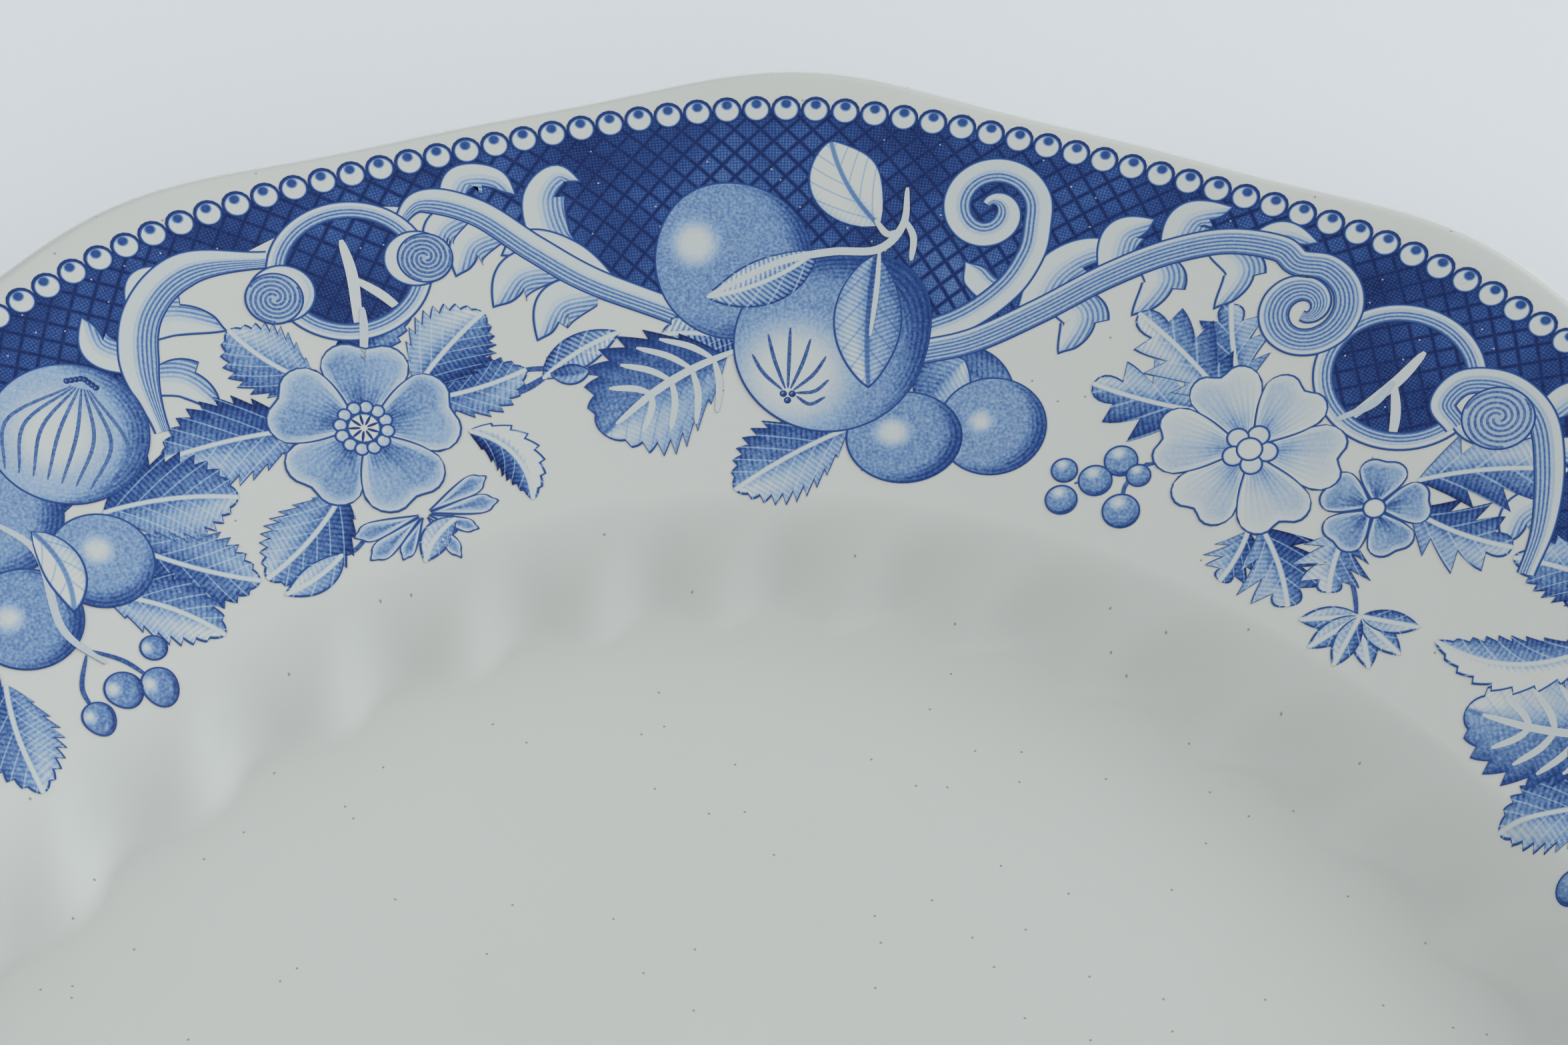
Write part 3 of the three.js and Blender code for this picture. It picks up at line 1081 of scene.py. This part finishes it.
@drawn_at(0.0)
def orchard_leaves():
    """Leaves round the orchard fruit: two laid over it, one bare against the dark ground, a large
    one with white ribs, toothed ones below, a twig and a bud."""
    return [
        leaf(
            (-7.2, -31), (-20.4, -41.4), 14.5, 7, 0.6, bend=-1.2, teeth=8, vein=0.4, shade=-0.3,
            hatch=0.15,
        ),
        *ribs((-6, -30), (-20, -41.2), 14.5, 8, bend=-1.2),
        leaf((-5, -29), (-14.6, -28.6), 6.5, 6.5, 0.42, bend=-0.6, teeth=6, shade=0.2, hatch=0.9),
        leaf((6.6, -39.4), (-5.6, -47.2), 9.6, 6.5, 0.55, bend=-0.5, teeth=10, veins=6, shade=-0.3),
        plain_leaf((14.5, -30.5), (25, -35), 6.5, 6, 0.6, bend=0.3, teeth=5, vein=0.0, veins=6),
        plain_leaf((14.5, -37), (19.5, -31), 6.5, 6.2, 0.5, bend=0.3, teeth=5, vein=0.0, veins=6),
        plain_leaf(
            (2.4, -17.3), (-9.8, -23.6), 5.8, 12, 0.32, bend=1.0, teeth=4, veins=5, shade=0.2,
            hatch=0.8,
        ),
        plain_leaf(
            (9.2, -17.6), (8.8, -34.4), 7.8, 12.5, 0.4, bend=-0.5, teeth=4, veins=5, vein=0.5,
            shade=0.16, hatch=0.4,
        ),
        plain_leaf(
            (9.6, -14.0), (3.6, -2.9), 8.6, 5, 0.05, bend=0.9, teeth=4, veins=5, vein=0.55,
            shade=0.06, hatch=0.15,
        ),
        stroke(
            [(-9.6, -23.4), (-2, -19), (4, -17.4), (9.4, -17), (12.2, -13.8), (12.6, -9)], 1.0,
            13, 0.05, 40,
        ),
        stroke([(9.6, -17), (9.4, -22), (8.8, -28)], 0.6, 13.5, 0.05),
        stroke([(12.3, -13), (13.4, -15.4), (13.2, -18.4)], 0.8, 13, 0.05),
        stroke([(9.0, -13.2), (10.4, -15.0), (11.8, -14.6)], 0.8, 13.5, 0.05),
        stroke([(-32.5, -38), (-29.5, -36.6), (-27, -34.6)], 0.8, 5, 0.7),
        plain_leaf((-27.6, -35.2), (-19.4, -28.6), 4.2, 6, 0.42, bend=0.6, hatch=0.7),
        plain_leaf((-26.8, -34.4), (-22.4, -33.6), 2.6, 6.4, 0.6, bend=-0.3, vein=0.0, veins=6),
    ]


@drawn_at(146.5)
def basket_fruit():
    """A long heap: four large fruit, the last one striped, and smaller ones below."""
    patches = [
        fruit((-18.5, -20.5), (8.2, 8.4), 8, 0.38, light=(0.3, 0.4), bright=0.35),
        fruit((10, -18.5), (8.2, 8.6), 8.5, 0.36, light=(-0.2, 0.3), bright=0.4),
        fruit((-5, -18.6), (9.4, 9.6), 9, 0.34, light=(-0.4, 0.2), bright=0.42, bulge=0.03),
        fruit((23.2, -17.6), (8.8, 8.8), 9.5, 0.24, light=(-0.1, 0.1), bright=0.7, dark=0.35),
        fruit((14.8, -31), (5.6, 5.8), 10, 0.36, light=(0.1, 0.2), bright=0.35, cells=16),
        fruit((4, -30.8), (6.2, 6.0), 10.5, 0.4, light=(-0.2, 0.2), bright=0.3, cells=16),
        fruit((-8, -31.4), (5.8, 5.6), 10, 0.42, light=(0.2, 0.2), bright=0.3, cells=16),
    ]
    crown, middle = np.array((28.6, -14.2)), np.array((23.2, -17.6))
    way = (middle - crown) / np.linalg.norm(middle - crown)
    side = left_of(way)
    for spread in np.linspace(-1, 1, 8):
        stripe = [
            crown + way * 0.5 + side * spread, middle + side * spread * 6.6,
            middle + way * 6.2 + side * spread * 5.4,
        ]
        bead = crown + side * spread * 1.6 - way * 0.8 * (1 - abs(spread))
        patches += [stroke(stripe, 0.42, 10, 0.6, 20), berry(bead, 0.36, 10.5, 0.8)]
    return patches


@drawn_at(146.5)
def basket_leaves():
    """Leaves, a bare-ribbed leaf and berries round the heap."""
    return [
        leaf((19, -27), (31, -35.4), 10.5, 7, 0.6, bend=0.8, teeth=10, shade=0.25),
        leaf((18, -31), (25.4, -44), 9.6, 6.5, 0.68, bend=-0.6, teeth=10, shade=-0.2),
        leaf((12, -34), (18, -46), 8.0, 7, 0.5, bend=1.0, teeth=8, shade=0.3),
        leaf(
            (-10, -30), (-22, -41), 13.5, 7, 0.5, bend=1.0, teeth=8, vein=0.3, shade=0.3, hatch=0.15,
        ),
        *ribs((-9, -29.4), (-21.6, -40.8), 13.5, 8, bend=1.0),
        leaf((-20, -26), (-30.6, -39), 6.6, 7.5, 0.3, bend=2.6, teeth=9, shade=-0.5),
        leaf((-22, -20), (-34, -27), 8.0, 6.5, 0.6, bend=-0.8, teeth=9, shade=0.2),
        leaf((-3, -35), (-8.6, -46), 8.6, 6.8, 0.58, bend=-0.6, teeth=9, shade=-0.2),
        plain_leaf(
            (11.8, -23.6), (8.2, -33.6), 4.6, 12, 0.06, bend=1.2, veins=4, vein=0.5, hatch=0.2,
        ),
        leaf((-14.6, -12.8), (-24.6, -10.6), 6.2, 7, 0.45, bend=0.6, teeth=8, shade=0.3),
        stroke([(9.6, -20), (10.4, -26), (6, -34), (6.4, -40)], 0.9, 11.5, 0.1, 30),
        stroke([(6.4, -38), (8, -41), (8.6, -44)], 0.5, 6, 0.7),
        stroke([(5.6, -38), (2.6, -40.4), (1.6, -43)], 0.5, 6, 0.7),
        berry((8.8, -45.4), 2.0, 7, 0.45), berry((5.6, -43.4), 2.1, 7.4, 0.45),
        berry((1.4, -44), 1.8, 7, 0.45), berry((11.4, -42), 1.5, 7, 0.45),
    ]


@drawn_at(-65.0)
def rose():
    """An open five-petalled flower with a button of stamens, and a small one behind it."""
    centre = np.array((0.0, -30.4))
    patches = [
        petal(centre, np.radians(64 + 72 * k), length, np.radians(40), layer)
        for k, (length, layer) in enumerate(
            ((10.9, 8.0), (10.9, 8.6), (10.4, 8.0), (10.9, 8.6), (10.9, 8.3))
        )
    ]
    for k in range(12):
        patches.append(berry(centre + toward(TURN * k / 12, 2.6), 0.86, 10, 0.12))
    patches.append(fruit(centre, (1.9, 1.9), 11, 0.3, (0, 0), bright=0.3, cells=10))
    for k in range(9):
        stamen = [centre + toward(TURN * k / 9, reach) for reach in (0.4, 1.0, 1.7)]
        patches.append(stroke(stamen, 0.3, 12, 0.85, 6))
    for angle, length in (
        (10, 7.6), (-12, 7.6), (-40, 5.6), (-75, 5.6), (200, 7.6), (222, 5.6), (178, 7.6),
    ):
        patches.append(petal(
            (1.6, -42.4), np.radians(angle), length, np.radians(13), 6, 0.42, notch=-0.1,
        ))
    return patches


@drawn_at(-65.0)
def rose_leaves():
    """Toothed leaves on every side of the rose, a turned-over one, and two buds."""
    return [
        leaf((-6, -28), (-22, -26), 10.4, 6, 0.62, bend=-0.6, teeth=10, shade=-0.28),
        leaf((-2.4, -23.4), (-8.6, -13.6), 8.6, 5.6, 0.52, bend=0.8, teeth=9, shade=0.2),
        leaf((-1, -22), (11.6, -18.4), 5.0, 5.2, 0.78, bend=-0.5, teeth=8, vein=0.0),
        leaf((7.6, -28), (18.4, -22.6), 9.4, 6, 0.56, bend=0.4, teeth=10, shade=-0.35),
        leaf((8.4, -30), (19.6, -31), 7.0, 5.8, 0.66, bend=-0.4, teeth=8, shade=0.2),
        leaf((-5.4, -36.6), (-17.4, -43.2), 9.2, 6, 0.6, bend=0.7, teeth=10, shade=0.24),
        leaf((10.4, -35.2), (13.2, -45.6), 5.4, 6.5, 0.42, bend=2.0, teeth=8, shade=-0.7, veins=5),
        stroke([(-4.6, -42), (-7, -43.4), (-9, -43.6)], 0.5, 5, 0.7),
        plain_leaf((-8.6, -43.4), (-16.4, -45.6), 3.4, 6, 0.4, bend=0.5),
        stroke([(4, -43), (4.4, -45), (2.8, -46)], 0.5, 5, 0.7),
        plain_leaf((4.6, -44.2), (-0.8, -47.4), 3.2, 6, 0.4, bend=-0.5),
        stroke([(17.6, -30.4), (22, -32), (28, -35.8)], 0.6, 5.5, 0.7, 24),
        stroke([(3.4, -23), (5.1, -19.6), (6.3, -16.6)], 1.0, 8, 0.08, 20),
    ]


@drawn_at(69.5)
def primrose():
    """An open six-petalled flower with a lobed white eye, and a smaller one beside it."""
    centre = np.array((0.0, -28.4))
    patches = [
        petal(
            centre, np.radians(20 + 60 * k), 10.3 if k % 3 == 1 else 10.8, np.radians(33),
            8 + 0.6 * (k % 2), 0.1, notch=0.1,
        )
        for k in range(6)
    ]
    for k in range(5):
        lobe = centre + toward(TURN * (k / 5 + 0.05), 1.9)
        patches.append(fruit(lobe, (1.3, 1.3), 10, 0.02, dark=0.0, cells=8))
    patches.append(fruit(centre, (1.5, 1.5), 11, 0.3, (0, 0), bright=0.5, cells=8))
    second = (15.6, -28.6)
    for k in range(5):
        patches.append(petal(
            second, np.radians(35 + 72 * k), 6.2, np.radians(37), 7 + 0.4 * (k % 2), 0.36, notch=0.05,
        ))
    patches.append(fruit(second, (1.3, 1.3), 9, 0.2, (0, 0), cells=8))
    return patches


@drawn_at(69.5)
def primrose_leaves():
    """Deeply lobed leaves, berries on fine stalks, and a spray of pointed leaves."""
    patches = [
        lobed_leaf((-5, -26), (-19.4, -29.6), 8.6, 6, 0.6, bend=0.5, shade=0.3),
        lobed_leaf((-5, -24.6), (-19.6, -19.6), 8.0, 6.2, 0.5, bend=-0.5, shade=-0.3),
        lobed_leaf((-4.4, -22.6), (-11.2, -13.6), 7.6, 6, 0.62, bend=0.4, shade=0.24),
        lobed_leaf((18, -23.6), (31.6, -15.6), 8.8, 6, 0.55, bend=0.8, shade=-0.3),
        lobed_leaf((19, -27), (31, -26.4), 7.6, 5.8, 0.62, bend=-0.6, shade=0.3),
        lobed_leaf((6, -36), (13.4, -43), 8.4, 6, 0.64, bend=0.5, shade=0.3),
        lobed_leaf((5, -37), (5.4, -43.6), 5.4, 5.8, 0.66, bend=0.3, shade=0.3),
        lobed_leaf((14.4, -32), (16.4, -39.6), 7.0, 6, 0.5, bend=-0.4, shade=0.3),
        stroke([(-7, -33.4), (-10, -36.4), (-14.6, -41)], 0.45, 5, 0.7, 20),
        stroke([(-9, -35), (-9.6, -38.4), (-8.6, -41)], 0.45, 5, 0.7, 20),
        stroke([(16.6, -36), (19, -38.6), (20.6, -41)], 0.5, 5.5, 0.7, 20),
        stroke([(6.4, -21), (9, -17.4), (9.6, -14)], 0.9, 8, 0.12, 20),
    ]
    patches += [berry(place, size, 7, 0.42) for place, size in (
        ((-14.8, -43.4), 1.8), ((-12.8, -39.6), 1.9), ((-16.4, -40.2), 1.5), ((-11.6, -36.2), 1.9),
        ((-8.4, -41.4), 2.1), ((-9.0, -36.8), 1.4),
    )]
    spray = np.array((20.8, -40.6))
    for angle in (-150, -118, -86, -52, -20, 14):
        patches.append(plain_leaf(
            spray, spray + toward(np.radians(angle), 6.4), 2.8, 6 + 0.3 * (angle % 4), 0.52,
            shade=0.3,
        ))
    return patches


# Operators --------------------------------------------------------------------------------------

class BodyMaker:
    """What the operators for the body share."""

    bl_options = {"REGISTER", "UNDO"}

    def execute(self, context):
        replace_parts(self.make(form()), self.node)
        return {"FINISHED"}


class PLATTER_OT_rim(BodyMaker, bpy.types.Operator):
    """Make the lobed rim with its rounded lip"""

    bl_idname = "platter.rim"
    bl_label = "Rim"
    node = "rim"

    def make(self, shape):
        return ring_piece("lobed_rim", shape, rim_section)


class PLATTER_OT_bouge(BodyMaker, bpy.types.Operator):
    """Make the fluted wall between the rim and the well"""

    bl_idname = "platter.bouge"
    bl_label = "Bouge"
    node = "bouge"

    def make(self, shape):
        return ring_piece("fluted_bouge", shape, bouge_section)


class PLATTER_OT_well(BodyMaker, bpy.types.Operator):
    """Make the flat floor"""

    bl_idname = "platter.well"
    bl_label = "Well"
    node = "well"

    def make(self, shape):
        return well_piece("well_floor", shape)


class PLATTER_OT_foot_ring(BodyMaker, bpy.types.Operator):
    """Make the ring that the platter stands on"""

    bl_idname = "platter.foot_ring"
    bl_label = "Foot ring"
    node = "foot_ring"

    def make(self, shape):
        return ring_piece("foot", shape, foot_section)


class StretchMaker:
    """What the operators for the ground and the beads share: pieces that are each half a repeat of
    the border long."""

    def execute(self, context):
        shape = form()
        for index in range(2 * REPEATS):
            patches = self.draw_stretch(shape, index)
            print_piece(f"{self.piece}_{index + 1}", shape, patches, self.material())
        return {"FINISHED"}


class PLATTER_OT_ground(StretchMaker, bpy.types.Operator):
    """Print the dark lattice ground, in eight stretches"""

    bl_idname = "platter.ground"
    bl_label = "Lattice ground"
    piece = "lattice_ground"
    material = staticmethod(cobalt_lattice_print)

    def draw_stretch(self, shape, index):
        half = REPEAT / 2
        return [ground_patch(shape, index * half, (index + 1) * half)]


class PLATTER_OT_beads(StretchMaker, bpy.types.Operator):
    """Print the row of beads, in eight stretches"""

    bl_idname = "platter.beads"
    bl_label = "Beads"
    piece = "bead_row"
    material = staticmethod(cobalt_bead_print)

    def draw_stretch(self, shape, index):
        each = BEADS // (2 * REPEATS)
        return [bead_patch(shape, index * each + k) for k in range(each)]


class DrawingMaker:
    """What the operators for the border's drawings share: each drawing once in every repeat, with
    any dark ground seen through its rings as a piece of its own."""

    def execute(self, context):
        shape = form()
        for name, draw in self.drawings.items():
            for index in range(REPEATS):
                patches = draw(shape, index * REPEAT)
                ground = [patch for patch in patches if patch.layer == RING_GROUND_LAYER]
                ink = [patch for patch in patches if patch.layer != RING_GROUND_LAYER]
                if ground:
                    piece = f"{name}_ground_{index + 1}"
                    print_piece(piece, shape, ground, cobalt_lattice_print())
                print_piece(f"{name}_{index + 1}", shape, ink, cobalt_transfer_print())
        return {"FINISHED"}


class PLATTER_OT_scrollwork(DrawingMaker, bpy.types.Operator):
    """Print the acanthus stems, spirals and rings"""

    bl_idname = "platter.scrollwork"
    bl_label = "Scrollwork"
    drawings = {
        "small_ring_scroll": scrollwork_to_orchard, "large_ring_scroll": scrollwork_to_basket,
    }


class PLATTER_OT_fruit(DrawingMaker, bpy.types.Operator):
    """Print the heaps of fruit"""

    bl_idname = "platter.fruit"
    bl_label = "Fruit"
    drawings = {"orchard_fruit": orchard_fruit, "basket_fruit": basket_fruit}


class PLATTER_OT_flowers(DrawingMaker, bpy.types.Operator):
    """Print the open flowers"""

    bl_idname = "platter.flowers"
    bl_label = "Flowers"
    drawings = {"rose": rose, "primrose": primrose}


class PLATTER_OT_leaves(DrawingMaker, bpy.types.Operator):
    """Print the leaves, buds, berries and stalks"""

    bl_idname = "platter.leaves"
    bl_label = "Leaves"
    drawings = {
        "orchard_leaves": orchard_leaves, "basket_leaves": basket_leaves,
        "rose_leaves": rose_leaves, "primrose_leaves": primrose_leaves,
    }


class PLATTER_OT_stage(bpy.types.Operator):
    """Set the platter on a plain pale floor, with soft light and a camera above one end"""

    bl_idname = "platter.stage"
    bl_label = "Stage"

    def execute(self, context):
        look = context.scene.platter_stage
        make_floor()
        make_lights(look)
        make_camera(look)
        return {"FINISHED"}


@made_once
def matt_painted_board(tree):
    """A plain pale floor without gloss."""
    pale = tuple(bpy.context.scene.platter_stage.floor)
    shader = add(tree, "BsdfPrincipled", base_color=pale, roughness=0.85)
    add(tree, "OutputMaterial", None, shader)


def make_floor():
    """A square floor, 3 m to each side of the platter."""
    mesh = bpy.data.meshes.new("floor")
    corners = [(-3.0, -3.0, 0), (3.0, -3.0, 0), (3.0, 3.0, 0), (-3.0, 3.0, 0)]
    mesh.from_pydata(corners, [], [(0, 1, 2, 3)])
    mesh.materials.append(matt_painted_board())
    floor = bpy.data.objects.new("floor", mesh)
    bpy.context.collection.objects.link(floor)


def area_light(name, place, aim, size, power):
    """A round softbox aimed at a place, that does not show in the glaze."""
    lamp = bpy.data.lights.new(name, "AREA")
    lamp.shape = "DISK"
    lamp.size = size
    lamp.energy = power
    light = bpy.data.objects.new(name, lamp)
    light.location = place
    light.visible_glossy = False
    light.rotation_euler = (Vector(aim) - Vector(place)).to_track_quat("-Z", "Y").to_euler()
    bpy.context.collection.objects.link(light)


def make_lights(look):
    """Even daylight from the walls of the room, and four softboxes."""
    world = bpy.data.worlds.new("daylight")
    bpy.context.scene.world = world
    world.use_nodes = True
    tree = world.node_tree
    tree.nodes.clear()
    # The walls of the room: brightest up and to the right, so that the gloss shows a soft fall.
    way = add(tree, "SeparateXYZ", None, add(tree, "TexCoord").outputs["Generated"])
    side = add(tree, "MapRange", SOFT, way.outputs["Y"], -0.2, 0.9, 0.75, 2.2)
    power = add(tree, "Math", TIMES, side, look.daylight)
    sky = add(tree, "Background", color=(0.94, 0.97, 1.0, 1.0), strength=power)
    add(tree, "OutputWorld", None, sky)
    area_light("right_softbox", (-0.5, 1.6, 1.1), (-0.05, 0.0, 0.0), 1.6, look.softbox * 0.84)
    area_light("left_softbox", (0.0, -1.6, 1.1), (-0.05, 0.0, 0.0), 1.6, look.softbox * 0.9)
    area_light("front_softbox", (1.7, 0.3, 1.0), (0.0, 0.0, 0.0), 1.6, look.softbox * 0.54)
    area_light("far_softbox", (-1.6, 1.0, 0.5), (-0.1, 0.0, 0.0), 1.0, look.softbox * 0.7)
    bpy.context.scene.view_settings.view_transform = "Standard"


def make_camera(look):
    """The view looks down on the far end: the point where its axis meets the level of the border
    line, how far off it stands, how high above that level, and how far it is turned."""
    shape = form()
    aim = Vector((-0.1309, 0.0004, shape.mm["border_height"] * MM))
    distance, above, turned = 0.425, np.radians(48.0), np.radians(2.1)
    back = Vector((np.cos(turned) * np.cos(above), np.sin(turned) * np.cos(above), np.sin(above)))
    data = bpy.data.cameras.new("camera")
    data.sensor_width = 36.0
    data.lens = look.lens
    data.clip_start = 0.01
    camera = bpy.data.objects.new("camera", data)
    camera.location = aim + distance * back
    camera.rotation_euler = (-back).to_track_quat("-Z", "Y").to_euler()
    bpy.context.collection.objects.link(camera)
    bpy.context.scene.camera = camera


class PLATTER_PT_panel(bpy.types.Panel):
    """Sizes, colours and pieces of the platter"""

    bl_label = "Serving platter"
    bl_idname = "PLATTER_PT_panel"
    bl_space_type = "VIEW_3D"
    bl_region_type = "UI"
    bl_category = "Platter"

    def draw(self, context):
        scene = context.scene
        for group in (scene.platter_form, scene.platter_colours, scene.platter_stage):
            box = self.layout.box()
            for key in group.__annotations__:
                box.prop(group, key)
        for maker in MAKERS:
            self.layout.operator(maker.bl_idname)


GROUPS = (PlatterForm, PlatterColours, PlatterStage)
MAKERS = (
    PLATTER_OT_stage, PLATTER_OT_rim, PLATTER_OT_bouge, PLATTER_OT_well, PLATTER_OT_foot_ring,
    PLATTER_OT_ground, PLATTER_OT_beads, PLATTER_OT_scrollwork, PLATTER_OT_leaves,
    PLATTER_OT_flowers, PLATTER_OT_fruit,
)
CLASSES = (*GROUPS, *MAKERS, PLATTER_PT_panel)


def register():
    for each in CLASSES:
        bpy.utils.register_class(each)
    bpy.types.Scene.platter_form = bpy.props.PointerProperty(type=PlatterForm)
    bpy.types.Scene.platter_colours = bpy.props.PointerProperty(type=PlatterColours)
    bpy.types.Scene.platter_stage = bpy.props.PointerProperty(type=PlatterStage)


def unregister():
    del bpy.types.Scene.platter_form
    del bpy.types.Scene.platter_colours
    del bpy.types.Scene.platter_stage
    for each in reversed(CLASSES):
        bpy.utils.unregister_class(each)


def main():
    register()
    for maker in MAKERS:
        category, name = maker.bl_idname.split(".")
        getattr(getattr(bpy.ops, category), name)()


if __name__ == "__main__":
    main()
